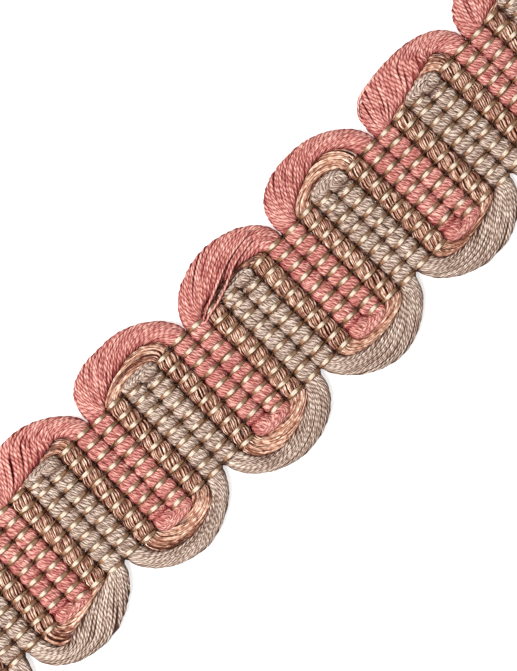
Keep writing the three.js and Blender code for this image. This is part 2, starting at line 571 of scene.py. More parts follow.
class TubeMesh:
    """Collects closed tubes along yarn paths and makes one mesh of them.

    In the bake's map the tubes are cut into rows of one length, which lie below one another.
    """

    row_slack = 1.04  # the map's width, beside the length of a row
    row_margin = 0.06  # bare share of a row's height above and below its tube
    cap_place = 0.4  # of a tube's ends along their row, as a share of its height
    cap_size = 0.2  # half of how much of that height they take up
    cap_on_yarn = 0.1  # the same on the yarn map, in millimetres
    least_steps_a_row = 4

    def __init__(self, sides: int) -> None:
        """Starts with no tube.

        Args:
            sides: corners of each tube's section.
        """
        self.sides = sides
        self._rings: list[np.ndarray] = []
        self._lies: list[np.ndarray] = []
        self._lengths: list[np.ndarray] = []
        self._starts: list[float] = []

    def add(
        self, path: np.ndarray, across: np.ndarray, up: np.ndarray, lie: np.ndarray, offset: float
    ) -> None:
        """Adds a tube.

        Args:
            path: rows of x, y and z along it.
            across: for each row, half of the section's width, as a vector.
            up: for each row, half of its height, as a vector.
            lie: for each row, the values of the attribute LIE.
            offset: millimetres that its yarn map starts at, so that no two yarns look the same.
        """
        angle = 2 * np.pi * np.arange(self.sides) / self.sides
        ring = path[:, None] + across[:, None] * np.cos(angle)[None, :, None]
        ring = ring + up[:, None] * np.sin(angle)[None, :, None]
        steps = np.linalg.norm(np.diff(path, axis=0), axis=1)
        self._rings.append(ring)
        self._lies.append(np.repeat(lie, self.sides, axis=0))
        self._lengths.append(np.concatenate([[0.0], np.cumsum(steps)]))
        self._starts.append(offset)

    def _rows(self, girth: float) -> tuple[float, int]:
        """How the tubes are cut into rows for the bake's map.

        Args:
            girth: millimetres round a tube.

        Returns:
            A row's length in millimetres, and how many rows there are.
        """
        total = sum(float(length[-1]) for length in self._lengths)
        longest_step = max(float(np.diff(length).max()) for length in self._lengths)
        row = max(math.sqrt(total * girth), longest_step * self.least_steps_a_row)
        return row, sum(int(length[-1] // row) + 1 for length in self._lengths)

    def _faces(self, base: int, rings: int) -> tuple[np.ndarray, list[int]]:
        """A tube's faces: those along it, then one at each end.

        Args:
            base: its first vertex.
            rings: how many rings of vertices it has.

        Returns:
            All their corners, and how many corners each has.
        """
        sides, around = self.sides, np.arange(self.sides)
        here = base + np.arange(rings - 1)[:, None] * sides + around
        beside = base + np.arange(rings - 1)[:, None] * sides + (around + 1) % sides
        quads = np.stack([here, beside, beside + sides, here + sides], axis=2)
        caps = [around[::-1] + base, around + base + (rings - 1) * sides]
        return np.concatenate([quads.reshape(-1), *caps]), [4] * (rings - 1) * sides + [sides, sides]

    def _maps(
        self, length: np.ndarray, start: float, row: int, row_length: float, row_count: int
    ) -> tuple[np.ndarray, np.ndarray]:
        """A tube's places on the two maps.

        Args:
            length: millimetres along it at each ring.
            start: where its yarn map starts, in millimetres.
            row: its first row on the bake's map.
            row_length: millimetres of tube in a row.
            row_count: how many rows that map has.

        Returns:
            For the yarn map and the bake's, a u and a v for each corner of its faces.
        """
        around = np.arange(self.sides)
        shape = (len(length) - 1, self.sides, 4)
        near, far = length[:-1], length[1:]
        u = np.broadcast_to(np.stack([near, near, far, far], axis=1)[:, None], shape)
        v = np.broadcast_to(np.stack([around, around + 1, around + 1, around], axis=1) / self.sides, shape)
        in_row = np.floor(near / row_length)[:, None, None]
        u_bake = (u - in_row * row_length) / (row_length * self.row_slack)
        v_bake = (row + in_row + self.row_margin + (1 - 2 * self.row_margin) * v) / row_count
        angle = 2 * np.pi * around / self.sides
        disc = np.stack([np.cos(angle), np.sin(angle)], axis=1)
        yarn_cap = disc * self.cap_on_yarn + [start, 0.5]
        bake_cap = (disc * self.cap_size + [self.cap_place, row + 0.5]) / row_count
        yarn = np.stack([u + start, v], axis=3).reshape(-1, 2)
        bake = np.stack([u_bake, v_bake], axis=3).reshape(-1, 2)
        return np.concatenate([yarn, yarn_cap, yarn_cap]), np.concatenate([bake, bake_cap, bake_cap])

    def build(self, name: str, girth: float) -> bpy.types.Object:
        """Makes the mesh and its two maps.

        Args:
            name: the object's name.
            girth: millimetres round a tube.

        Returns:
            The object, in the scene.
        """
        row_length, row_count = self._rows(girth)
        corners, sizes, yarn_map, bake_map = [], [], [], []
        base = row = 0
        for ring, length, start in zip(self._rings, self._lengths, self._starts):
            tube_corners, tube_sizes = self._faces(base, len(ring))
            yarn, bake = self._maps(length, start, row, row_length, row_count)
            corners.append(tube_corners)
            sizes += tube_sizes
            yarn_map.append(yarn)
            bake_map.append(bake)
            base += len(ring) * self.sides
            row += int(length[-1] // row_length) + 1
        mesh = bpy.data.meshes.new(name)
        vertices = LAYOUT.laid(np.concatenate([ring.reshape(-1, 3) for ring in self._rings])) * MM
        mesh.vertices.add(len(vertices))
        mesh.vertices.foreach_set("co", vertices.astype(np.float32).ravel())
        index = np.concatenate(corners).astype(np.int32)
        mesh.loops.add(len(index))
        mesh.loops.foreach_set("vertex_index", index)
        mesh.polygons.add(len(sizes))
        starts = np.concatenate([[0], np.cumsum(sizes)[:-1]])
        mesh.polygons.foreach_set("loop_start", starts.astype(np.int32))
        mesh.polygons.foreach_set("use_smooth", np.array(sizes) == 4)
        mesh.update(calc_edges=True)
        for map_name, rows in ((YARN_MAP, yarn_map), (BAKE_MAP, bake_map)):
            layer = mesh.uv_layers.new(name=map_name)
            layer.data.foreach_set("uv", np.concatenate(rows).astype(np.float32).ravel())
        layer = mesh.attributes.new(LIE, "FLOAT_VECTOR", "POINT")
        layer.data.foreach_set("vector", np.concatenate(self._lies).astype(np.float32).ravel())
        piece = bpy.data.objects.new(name, mesh)
        bpy.context.scene.collection.objects.link(piece)
        return piece


class Shader:
    """A material's node tree, built a node at a time."""

    groove_from = 0.4  # how far out on a yarn's side the painted shade of the groove beside it starts
    groove_slope = 1.8  # and how fast it darkens

    def __init__(self, name: str) -> None:
        """Starts a material with nothing but its Principled shader and output.

        Args:
            name: the material's name.
        """
        self.material = bpy.data.materials.new(name)
        self.material.use_nodes = True
        self.nodes = self.material.node_tree.nodes
        self.links = self.material.node_tree.links
        self.principled = self.nodes["Principled BSDF"]

    def put(self, value: Value | tuple[float, ...], socket: Socket) -> None:
        """Links an output to a socket, or sets the socket to a value."""
        if isinstance(value, Socket):
            self.links.new(value, socket)
        else:
            socket.default_value = value

    def math(self, operation: str, *values: Value, clamp: bool = False) -> Socket:
        """A Math node.

        Args:
            operation: what it does.
            *values: numbers or outputs.
            clamp: whether its result is held within 0 and 1.

        Returns:
            Its output.
        """
        node = self.nodes.new("ShaderNodeMath")
        node.operation = operation
        node.use_clamp = clamp
        for value, socket in zip(values, node.inputs):
            self.put(value, socket)
        return node.outputs[0]

    def less(self, value: Value, taken: Value) -> Socket:
        """The first value less the second."""
        return self.math("SUBTRACT", value, taken)

    def times(self, value: Value, factor: Value, clamp: bool = False) -> Socket:
        """The product of two values."""
        return self.math("MULTIPLY", value, factor, clamp=clamp)

    def times_plus(self, value: Value, factor: Value, added: Value, clamp: bool = False) -> Socket:
        """The product of two values and a third one added to it."""
        return self.math("MULTIPLY_ADD", value, factor, added, clamp=clamp)

    def varied(self, level: Value, noise: Socket, depth: float) -> Socket:
        """A level that rises and falls with a noise about 0.5."""
        return self.times_plus(self.less(noise, 0.5), depth, level)

    def arch(self, value: Value) -> Socket:
        """0 where the value is a whole number and 1 halfway between two, as a sine."""
        return self.math("SINE", self.times(self.math("FRACT", value), math.pi))

    def yarn_place(self) -> tuple[Socket, Socket]:
        """Millimetres along the yarn, and the share of the way round it."""
        place = self.nodes.new("ShaderNodeUVMap")
        place.uv_map = YARN_MAP
        split = self.nodes.new("ShaderNodeSeparateXYZ")
        self.links.new(place.outputs[0], split.inputs[0])
        return split.outputs[0], split.outputs[1]

    def lie(self) -> tuple[Socket, ...]:
        """The three values of the attribute LIE."""
        lie = self.nodes.new("ShaderNodeAttribute")
        lie.attribute_name = LIE
        split = self.nodes.new("ShaderNodeSeparateXYZ")
        self.links.new(lie.outputs["Vector"], split.inputs[0])
        return tuple(split.outputs)

    def mix(self, share: Value, first: Socket | Colour, second: Socket | Colour) -> Socket:
        """A mixture of two colours.

        Args:
            share: 0 for only the first, 1 for only the second.
            first: an output or a colour.
            second: the same.

        Returns:
            The mixture.
        """
        node = self.nodes.new("ShaderNodeMix")
        node.data_type = "RGBA"
        sockets = (next(s for s in node.inputs if s.identifier == name) for name in MIX_SOCKETS)
        for value, socket in zip((share, first, second), sockets):
            self.put((*value, 1.0) if isinstance(value, tuple) else value, socket)
        return next(s for s in node.outputs if s.identifier == "Result_Color")

    def valleys(self, v: Socket) -> tuple[Socket, Socket]:
        """How much painted shade the yarn has where it meets its neighbours and where it lies deep, each from
        0 to 1.

        Args:
            v: the share of the way round the yarn.

        Returns:
            The two values.
        """
        outward, tightness, deep = self.lie()
        angle = self.times(self.less(v, outward), 2 * math.pi)
        side = self.times(self.math("ABSOLUTE", self.math("SINE", angle)), tightness)
        groove_shade = self.times(self.less(side, self.groove_from), self.groove_slope, clamp=True)
        return groove_shade, deep

    def noise(self, x: Value, y: Value, detail: float = 2.0, z: Value = 0.0) -> Socket:
        """Smooth noise about 0.5 at a point with the given coordinates.

        Args:
            x: number or output.
            y: number or output.
            detail: octaves of finer noise.
            z: number or output.

        Returns:
            The noise.
        """
        join = self.nodes.new("ShaderNodeCombineXYZ")
        for value, socket in zip((x, y, z), join.inputs):
            self.put(value, socket)
        node = self.nodes.new("ShaderNodeTexNoise")
        node.inputs["Scale"].default_value = 1.0
        node.inputs["Detail"].default_value = detail
        self.links.new(join.outputs[0], node.inputs["Vector"])
        return node.outputs["Fac"]

    def slow_noise(self, u: Socket, a_millimetre: float, row: float) -> Socket:
        """Plain noise along a yarn. Each use has a row of its own."""
        return self.noise(self.times(u, a_millimetre), row, detail=1.0)

    def grain(self, across: Socket, u: Socket, counts: tuple[float, float], detail: float = 2.0) -> Socket:
        """Long grains on a yarn: so many to each 1 across it, and so many a millimetre along it."""
        return self.noise(self.times(across, counts[0]), self.times(u, counts[1]), detail=detail)

    def ramp(self, value: Value, *stops: tuple[float, Colour]) -> Socket:
        """A colour ramp.

        Args:
            value: number or output that is looked up.
            *stops: places from 0 to 1, each with its colour.

        Returns:
            The colour.
        """
        node = self.nodes.new("ShaderNodeValToRGB")
        elements = node.color_ramp.elements
        while len(elements) < len(stops):
            elements.new(0.5)
        for element, (place, colour) in zip(elements, stops):
            element.position = place
            element.color = (*colour, 1.0)
        self.put(value, node.inputs[0])
        return node.outputs[0]

    def finish(self, colour: Socket, height: Socket, depth: float) -> bpy.types.Material:
        """Gives the shader its colour and its bump.

        Args:
            colour: its colour.
            height: of the bump, from 0 to 1.
            depth: what a height of 1 stands for, in millimetres.

        Returns:
            The finished material.
        """
        node = self.nodes.new("ShaderNodeBump")
        node.inputs["Distance"].default_value = depth * MM
        self.links.new(height, node.inputs["Height"])
        self.links.new(node.outputs[0], self.principled.inputs["Normal"])
        self.links.new(colour, self.principled.inputs["Base Color"])
        return self.material

    def settle(self, **values: float) -> None:
        """Sets the shader's own sockets, with a blank written as an underscore."""
        for name, value in values.items():
            self.principled.inputs[name.replace("_", " ")].default_value = value


def from_screen(red: int, green: int, blue: int) -> Colour:
    """A colour as a shader takes it.

    Args:
        red: 0 to 255, as a screen shows it.
        green: the same.
        blue: the same.

    Returns:
        The linear colour.
    """
    parts = []
    for part in (red / 255, green / 255, blue / 255):
        parts.append(part / 12.92 if part <= 0.04045 else ((part + 0.055) / 1.055) ** 2.4)
    return (parts[0], parts[1], parts[2])


@dataclass(frozen=True)
class PliedYarn:
    """A soft yarn of a few plies twisted together. What comes by the millimetre is counted along the yarn."""

    deep: Colour
    middle: Colour
    light: Colour
    plies: int = 4
    ply_step: float = 0.8  # millimetres from one ply to the next
    ply_depth: float = 0.07
    ply_round: float = 0.7
    sway: float = 1.2  # how many plies its twist is ahead or behind at most
    sways: float = 0.5  # a millimetre
    least: float = 0.02  # its lightness between the plies, with painted shade there
    contrast: float = 0.62  # and how much lighter a ply's crest is, as a painted highlight
    fibre: float = 0.35  # how much its fibres differ
    fibres: tuple[float, float] = (5.0, 0.7)  # on a ply, and a millimetre
    fibre_height: float = 0.3  # beside a ply's
    tone: float = 0.9  # how much its lightness comes and goes
    tones: float = 0.09  # a millimetre
    fleck: float = 0.8  # how much its plies differ
    flecks: float = 0.35  # a millimetre
    valley_shade: float = 1.0  # how dark the painted shade beside its neighbours is
    valleys: float = 0.16  # how often that comes and goes in a millimetre
    valley_range: tuple[float, float] = (2.6, -0.4)  # its depth is a noise times one, plus the other
    shade: float = 0.7  # how dark the painted shade is where it lies deep
    roughness: float = 0.65
    gloss: float = 0.2

    def material(self, name: str) -> bpy.types.Material:
        """Makes the yarn's material.

        Args:
            name: the material's name.

        Returns:
            The material.
        """
        shader = Shader(name)
        u, v = shader.yarn_place()
        sway = shader.times(shader.noise(shader.times(u, self.sways), 0.0), self.sway)
        turns = shader.times_plus(v, float(self.plies), sway)
        phase = shader.less(shader.math("DIVIDE", u, self.ply_step), turns)
        ply = shader.math("POWER", shader.arch(phase), self.ply_round)
        fibre = shader.grain(phase, u, self.fibres, detail=3.0)
        tone = shader.slow_noise(u, self.tones, row=7.0)
        fleck = shader.noise(shader.math("FLOOR", phase), shader.times(u, self.flecks), detail=0.0, z=3.3)
        # Each ply's relief is a bump; its lighter crest is a painted highlight, and its dark sides are
        # painted shade.
        level = shader.times_plus(ply, self.contrast, self.least)
        level = shader.times_plus(fibre, self.fibre, level)
        level = shader.varied(level, tone, self.tone)
        level = shader.varied(level, fleck, self.fleck)
        # Painted shade beside its neighbours and where it lies deep.
        groove_shade, deep = shader.valleys(v)
        groove = shader.slow_noise(u, self.valleys, row=11.0)
        groove = shader.times(groove_shade, shader.times_plus(groove, *self.valley_range))
        level = shader.times_plus(groove, -self.valley_shade, level)
        level = shader.times_plus(deep, -self.shade, level, clamp=True)
        colour = shader.ramp(level, (0.0, self.deep), (0.5, self.middle), (1.0, self.light))
        height = shader.times_plus(fibre, self.fibre_height, ply)
        shader.settle(Roughness=self.roughness, Specular_IOR_Level=self.gloss)
        return shader.finish(colour, height, self.ply_depth)


@dataclass(frozen=True)
class FilamentYarn:
    """A glossy yarn of fine, nearly untwisted filaments. What comes by the millimetre is counted along it."""

    deep: Colour
    middle: Colour
    light: Colour
    filaments: float = 4.0  # round it
    slant: float = 0.15  # filaments that a line along it crosses in a millimetre
    line: float = 0.35  # how much lighter a filament's crest is, as a painted highlight
    streak: float = 1.8  # how much its filaments differ
    streaks: tuple[float, float] = (1.6, 0.3)  # on a filament, and a millimetre
    streak_height: float = 0.6  # beside a filament's
    glint: float = 2.0  # how much painted glints make its lightness come and go
    glints: float = 1.2  # a millimetre
    middling: float = 0.48  # its lightness without those
    valley_shade: float = 1.5  # how dark the painted shade beside its neighbours is
    shade: float = 0.9  # how dark the painted shade is where it lies deep
    depth: float = 0.05
    roughness: float = 0.38
    gloss: float = 0.4

    def material(self, name: str) -> bpy.types.Material:
        """Makes the yarn's material.

        Args:
            name: the material's name.

        Returns:
            The material.
        """
        shader = Shader(name)
        u, v = shader.yarn_place()
        across = shader.times_plus(u, self.slant, shader.times(v, self.filaments))
        # Each filament's relief is a bump; its lighter crest is a painted highlight.
        line = shader.arch(across)
        streak = shader.grain(across, u, self.streaks)
        # Painted glints, at random along it.
        glint = shader.slow_noise(u, self.glints, row=2.0)
        level = shader.varied(self.middling, streak, self.streak)
        level = shader.times_plus(line, self.line, level)
        level = shader.varied(level, glint, self.glint)
        # Painted shade beside its neighbours and where it lies deep.
        groove_shade, deep = shader.valleys(v)
        level = shader.times_plus(groove_shade, -self.valley_shade, level)
        level = shader.times_plus(deep, -self.shade, level, clamp=True)
        colour = shader.ramp(level, (0.0, self.deep), (0.5, self.middle), (1.0, self.light))
        height = shader.times_plus(streak, self.streak_height, line)
        shader.settle(Roughness=self.roughness, Specular_IOR_Level=self.gloss)
        return shader.finish(colour, height, self.depth)


@dataclass(frozen=True)
class BindingThread:
    """A shiny thread whose short floats have a painted highlight on one side of each rib, and painted shade
    on the other side and where they dive.
    """

    # Along a float: dark is painted shade where it dives between the ribs, tail its own orange brown, crest a
    # painted highlight and slope painted shade.
    dark: Colour
    tail: Colour
    crest: Colour
    slope: Colour
    filaments: float = 8.0
    depth: float = 0.04
    groove: float = 0.8  # how dark the painted shade in the grooves between its filaments is
    groove_sharpness: float = 3.0
    chance: float = 0.24  # how far along the rib the painted highlight of one float may be from that of another
    ragged: float = 0.16  # and that of one filament
    streaks: tuple[float, float] = (9.0, 0.8)  # round it, and a millimetre
    strand: float = 5.0  # how sharply filaments of painted shade stand out at a float's ends
    strands: tuple[float, float] = (16.0, 0.35)  # round it, and a millimetre
    strand_middle: float = 0.43  # where over the rib there are none
    strand_ends: float = 2.2  # how fast they come in from there
    roughness: float = 0.5
    gloss: float = 0.35

    def material(self, name: str) -> bpy.types.Material:
        """Makes the thread's material.

        Args:
            name: the material's name.

        Returns:
            The material.
        """
        shader = Shader(name)
        u, v = shader.yarn_place()
        place, chance, plain = shader.lie()
        streak = shader.grain(v, u, self.streaks)
        shift = shader.varied(shader.varied(place, chance, self.chance), streak, self.ragged)
        # Painted highlight on the float's crest, painted shade on its far slope and where it dives.
        along = shader.ramp(
            shift,
            (0.06, self.dark),
            (0.16, self.tail),
            (0.24, self.tail),
            (0.34, self.crest),
            (0.52, self.crest),
            (0.63, self.slope),
            (0.76, self.slope),
            (0.84, self.tail),
            (0.93, self.dark),
        )
        # The plain thread has its own colour, with painted shade at its ends, where it dives.
        edge = shader.ramp(place, (0.0, self.dark), (0.12, self.tail), (0.88, self.tail), (1.0, self.dark))
        # Filaments of painted shade at a float's ends.
        strand = shader.grain(v, u, self.strands, detail=1.0)
        strand = shader.times(shader.less(strand, 0.5), self.strand, clamp=True)
        aside = shader.math("ABSOLUTE", shader.less(place, self.strand_middle))
        aside = shader.times(aside, self.strand_ends)
        strand = shader.times(strand, shader.math("POWER", aside, 2.0), clamp=True)
        along = shader.mix(strand, along, self.dark)
        # The filaments' relief is a bump; the grooves between them get painted shade.
        line = shader.math("ABSOLUTE", shader.math("SINE", shader.times(v, math.pi * self.filaments)))
        groove = shader.math("POWER", shader.less(1.0, line), self.groove_sharpness)
        groove = shader.times(groove, self.groove)
        colour = shader.mix(groove, shader.mix(plain, along, edge), edge)
        shader.settle(Roughness=self.roughness, Specular_IOR_Level=self.gloss)
        return shader.finish(colour, line, self.depth)


ROSE_FINISH = PliedYarn(from_screen(122, 44, 42), from_screen(192, 115, 108), from_screen(248, 198, 184))
TAUPE_FINISH = PliedYarn(
    from_screen(78, 51, 40),
    from_screen(156, 128, 114),
    from_screen(240, 223, 209),
    fleck=0.6,
    contrast=0.65,
    valley_shade=1.3,
)
COPPER_FINISH = FilamentYarn(from_screen(80, 37, 25), from_screen(184, 125, 100), from_screen(255, 226, 202))
# Its crest is a painted highlight; its slope and its dark are painted shade.
WARP_FINISH = BindingThread(
    dark=from_screen(56, 30, 18),
    tail=from_screen(156, 110, 78),
    crest=from_screen(236, 221, 200),
    slope=from_screen(132, 106, 82),
)


def way_along(path: np.ndarray) -> np.ndarray:
    """The direction of a path at each of its points, in rows of length 1."""
    way = np.gradient(path, axis=0)
    return way / np.linalg.norm(way, axis=1)[:, None]


@dataclass
class Bundle:
    """A bundle of yarns that winds back and forth across the tape."""

    name: str
    slot: str
    finish: PliedYarn | FilamentYarn
    seed: int
    yarn_radius: float = 0.25
    surface_yarns: int = 26
    surface_sides: int = 5
    spacing_chance: float = 0.2  # how far a yarn is from its even place, as a share of the spacing
    thickness_range: tuple[float, float] = (0.93, 1.07)
    cover: float = 1.32  # how thick its yarns are at least, beside yarns that would just touch
    core_yarns: int = 9
    core_sides: int = 4
    core_radius: float = 0.45
    core_distance: float = 0.84
    core_spread: float = 1.0  # how much of its width the core keeps where a warp line draws the rib in
    core_shade: float = 0.6  # how much more painted shade the core has on the ribs
    rib_twist: float = -0.12
    turn_twist: float = -0.28
    wander: float = 0.026  # how far its yarns wander in and out
    round_wander: float = 3.0  # how much further they wander round the bundle
    turn_wander: float = 0.5  # and how much of that they do in the turns
    depth_sway: float = 13.0  # millimetres that a yarn takes to wander in and out
    round_sway: float = 31.0  # and round the bundle
    rib_closeness: float = 0.45  # how much the painted shade in its grooves is lessened on the ribs
    turn_closeness: float = 0.0  # and in the turns
    side_from: float = 0.72  # how far out the shade at its sides starts
    rib_shade: float = 0.05  # painted shade all over the ribs
    pinch_shade: float = 0.75  # and the painted shade under the warp lines, and under another turn
    locks: int = 0  # how many locks its yarns seem to part into in the turns, by bands of painted shade
    lock_shade: float = 0.7  # how dark the painted shade between two of them is
    lock_slant: float = 0.35  # radians a millimetre that the locks turn round the bundle
    cut_raggedness: float = 0.35
    least_width: float = 1.2  # of a section, in yarns
    least_room: float = 0.05  # half of the least height within which its yarns lie
    least_stations: int = 4  # of a yarn that is worth making

    def runs(self) -> list[Stations]:
        """The bundle's ribs and turns, in the order in which it goes through them."""
        raise NotImplementedError

    def _drift(self, along: np.ndarray, rng: random.Random, length: float) -> np.ndarray:
        """A slow, smooth, random sway.

        Args:
            along: millimetres along the bundle.
            rng: the source of chance.
            length: about how many millimetres one sway takes.

        Returns:
            The sway at each place, about -1 to 1.
        """
        sway = np.zeros_like(along)
        shares = (1.0, 0.45)
        for share in shares:
            wave = length * share * rng.uniform(0.8, 1.25)
            sway += share * np.sin(2 * np.pi * along / wave + rng.uniform(0, 2 * np.pi))
        return sway / sum(shares)

    def meshes(self) -> list[bpy.types.Object]:
        """Makes the yarns: two pieces of those on the bundle's surface, and one of those inside it.

        Returns:
            The three pieces.
        """
        stations = Stations.joined(self.runs())
        rng = random.Random(SEED + self.seed)
        halves = [TubeMesh(self.surface_sides), TubeMesh(self.surface_sides)]
        for n in range(self.surface_yarns):
            place = n + rng.uniform(-self.spacing_chance, self.spacing_chance)
            start = 2 * math.pi * place / self.surface_yarns
            radius = self.yarn_radius * rng.uniform(*self.thickness_range)
            self._add_yarn(halves[2 * n // self.surface_yarns], stations, start, 1.0, radius, rng)
        core = TubeMesh(self.core_sides)
        for n in range(self.core_yarns):
            start = 2 * math.pi * n / self.core_yarns
            self._add_yarn(core, stations, start, self.core_distance, self.core_radius, rng, self.core_spread)
        self._add_loose(halves[0])
        girth = 2 * math.pi * self.yarn_radius
        return [
            halves[0].build(f"{self.name}_yarns_a", girth),
            halves[1].build(f"{self.name}_yarns_b", girth),
            core.build(f"{self.name}_core", girth),
        ]

    def _add_yarn(
        self,
        mesh: TubeMesh,
        stations: Stations,
        start: float,
        distance: float,
        radius: float,
        rng: random.Random,
        spread: float = 0.0,
    ) -> None:
        """Adds one yarn, cut at the tape's ends.

        Args:
            mesh: what it is added to.
            stations: the bundle's cross-sections.
            start: the yarn's place round the first section, in radians.
            distance: how far it is from the section's middle, from 0 to 1.
            radius: half of its own thickness.
            rng: the source of chance.
            spread: how much further out it is where a warp line draws the rib in.
        """
        along = stations.along()
        wander = self.wander * (1 + (self.turn_wander - 1) * (1 - stations.laid_even))
        sideways = wander * self.round_wander * self._drift(along, rng, self.round_sway)
        angle = start + stations.twist() + sideways
        depth = distance * (1 - self.wander * (1 + self._drift(along, rng, self.depth_sway)))
        wrapped = np.mod(angle + np.pi, 2 * np.pi) - np.pi
        even = 1 - 2 * np.abs(wrapped) / np.pi
        p = (1 - stations.flatness) * np.cos(angle) + stations.flatness * even
        n = stations.squareness
        q = np.sign(wrapped) * (1 - np.abs(p) ** n) ** (1 / n)
        width = np.linalg.norm(stations.half, axis=1)
        size = np.maximum(radius * stations.yarn_scale, self.cover * 2 * width / self.surface_yarns)
        lie = self._lie(stations, p, q, size / stations.yarn_scale)
        # The core gets more painted shade on the ribs.
        if distance < 1:
            lie[:, 2] *= 1 + self.core_shade * stations.laid_even
        p, q = p * depth, q * depth
        wider = 1 + spread * stations.pinch * stations.laid_even
        inside = 1 - size / np.maximum(width, size * self.least_width)
        plan = stations.middle + stations.half * (p * wider * inside)[:, None]
        low, high = stations.between(stations.low, p), stations.between(stations.high, p)
        z = (low + high) / 2 + q * np.maximum((high - low) / 2 - size, self.least_room)
        path = np.concatenate([plan, z[:, None]], axis=1)
        self._add_between_cuts(mesh, path, size, lie, rng)

    def _add_between_cuts(
        self, mesh: TubeMesh, path: np.ndarray, size: np.ndarray, lie: np.ndarray, rng: random.Random
    ) -> None:
        """Adds those parts of a yarn that lie between the tape's cut ends.

        Args:
            mesh: what they are added to.
            path: rows of x, y and z along the yarn.
            size: half of its thickness at each row.
            lie: for each row, the values of the attribute LIE.
            rng: the source of chance.
        """
        across, up = self._section(path)
        end = LAYOUT.cut - rng.uniform(0.0, self.cut_raggedness)
        kept = np.abs(path[:, 0]) < end
        ends = np.flatnonzero(np.diff(np.concatenate([[False], kept, [False]]).astype(int)))
        for first, last in zip(ends[::2], ends[1::2]):
            if last - first < self.least_stations:
                continue
            cut = slice(first, last)
            thick = size[cut, None]
            mesh.add(path[cut], across[cut] * thick, up[cut] * thick, lie[cut], rng.uniform(0, MAP_REACH))

    def _section(self, path: np.ndarray) -> tuple[np.ndarray, np.ndarray]:
        """The two directions of a tube's section.

        Args:
            path: rows of x, y and z along the tube.

        Returns:
            For each row, the level direction across the path, and the upward one.
        """
        way = way_along(path)
        across = np.cross(way, [0.0, 0.0, 1.0])
        across /= np.linalg.norm(across, axis=1)[:, None]
        return across, np.cross(across, way)

    def _add_loose(self, mesh: TubeMesh) -> None:
        """Adds yarns that aren't in the bundle. A plain bundle has none."""

    def _lie(self, stations: Stations, p: np.ndarray, q: np.ndarray, radius: np.ndarray) -> np.ndarray:
        """How a yarn lies among its neighbours, and the painted shade that this gives it.

        Args:
            stations: the bundle's cross-sections.
            p: its place across each section, from -1 at the right edge to 1 at the left one.
            q: its place in the section's height, from -1 to 1.
            radius: half of its thickness at each station.

        Returns:
            The values of the attribute LIE, a row for each station.
        """
        a = np.linalg.norm(stations.half, axis=1)
        b = (stations.high - stations.low).mean(axis=1) / 2
        girth = np.pi * (3 * (a + b) - np.sqrt((3 * a + b) * (a + 3 * b)))
        outward = np.unwrap(np.arctan2(q / b, -p / a)) / (2 * np.pi)
        even = stations.laid_even
        open_share = 1 - self.rib_closeness * even - self.turn_closeness * (1 - even)
        tightness = np.minimum(2 * radius * self.surface_yarns / girth, 1.0) * open_share
        # Painted shade at its sides, under a warp line or another turn, and all over the ribs.
        aside = np.clip((np.abs(p) - self.side_from) / (1 - self.side_from), 0, 1) ** 1.5
        deep = np.maximum(aside * stations.between(stations.side_shade, p), self.pinch_shade * stations.pinch)
        deep = np.maximum(deep, self.rib_shade * even)
        # Painted shade between the locks.
        if self.locks:
            lock = np.sin(2 * np.pi * self.locks * outward + self.lock_slant * stations.along())
            deep = np.maximum(deep, self.lock_shade * (1 - even) * np.clip(lock, 0, 1) ** 2)
        return np.stack([outward, tightness, deep], axis=1)

    def build(self) -> list[bpy.types.Object]:
        """Makes and dresses the bundle, and puts it in place of its solid.

        Returns:
            Its pieces.
        """
        material = self.finish.material(self.slot)
        pieces = self.meshes()
        for piece in pieces:
            piece.data.materials.append(material)
            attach(piece, "root")
        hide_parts(self.name)
        return pieces


@dataclass(frozen=True)
class LooseStrand:
    """A yarn that has slipped out of its scallop on the rose edge.

    Each point of its way is given by millimetres along the tape from the scallop's middle, its reach past the
    selvedge and its height.
    """

    scallop: int
    way: tuple[tuple[float, float, float], ...]
    steps: int = 40
    lie: tuple[float, float, float] = (0.25, 0.9, 0.0)  # it faces up, and nothing shades it
    map_step: float = 50.0  # millimetres from one strand's yarn map to the next one's

    def path(self) -> np.ndarray:
        """A smooth line through the points.

        Returns:
            Rows of x, y and z.
        """
        points = np.array(self.way)
        middle = LAYOUT.first_rib + self.scallop * LAYOUT.ribs_a_repeat - LAYOUT.scallop_ribs / 2
        points[:, 0] += middle * LAYOUT.rib_pitch
        points[:, 1] += LAYOUT.selvedge
        ends = np.concatenate([2 * points[:1] - points[1:2], points, 2 * points[-1:] - points[-2:-1]])
        rows = []
        for place in np.linspace(0, len(points) - 1, self.steps):
            n = min(int(place), len(points) - 2)
            a, b, c, d = ends[n : n + 4]
            s = place - n
            rows.append(b + s / 2 * (c - a + s * (2 * a - 5 * b + 4 * c - d + s * (3 * (b - c) + d - a))))
        return np.array(rows)


LOOSE_STRANDS = (
    LooseStrand(
        scallop=4,
        way=(
            (-6.8, -1.1, 2.0),
            (-5.6, -0.7, 2.5),
            (-3.6, -0.3, 2.6),
            (-0.8, 0.65, 2.7),
            (2.1, 1.9, 2.75),
            (6.2, 2.6, 2.2),
        ),
    ),
    LooseStrand(
        scallop=4,
        way=(
            (-7.0, -0.7, 2.0),
            (-5.2, 0.2, 2.6),
            (-3.2, 1.0, 2.7),
            (-0.8, 2.0, 2.7),
            (2.4, 3.1, 2.55),
            (6.8, 3.7, 2.0),
        ),
    ),
    LooseStrand(
        scallop=6,
        way=(
            (-8.7, 0.2, 1.2),
            (-9.15, 2.0, 0.9),
            (-8.9, 3.7, 0.9),
            (-7.8, 5.0, 1.0),
            (-6.2, 5.8, 1.1),
            (-1.5, 6.3, 1.2),
        ),
    ),
)


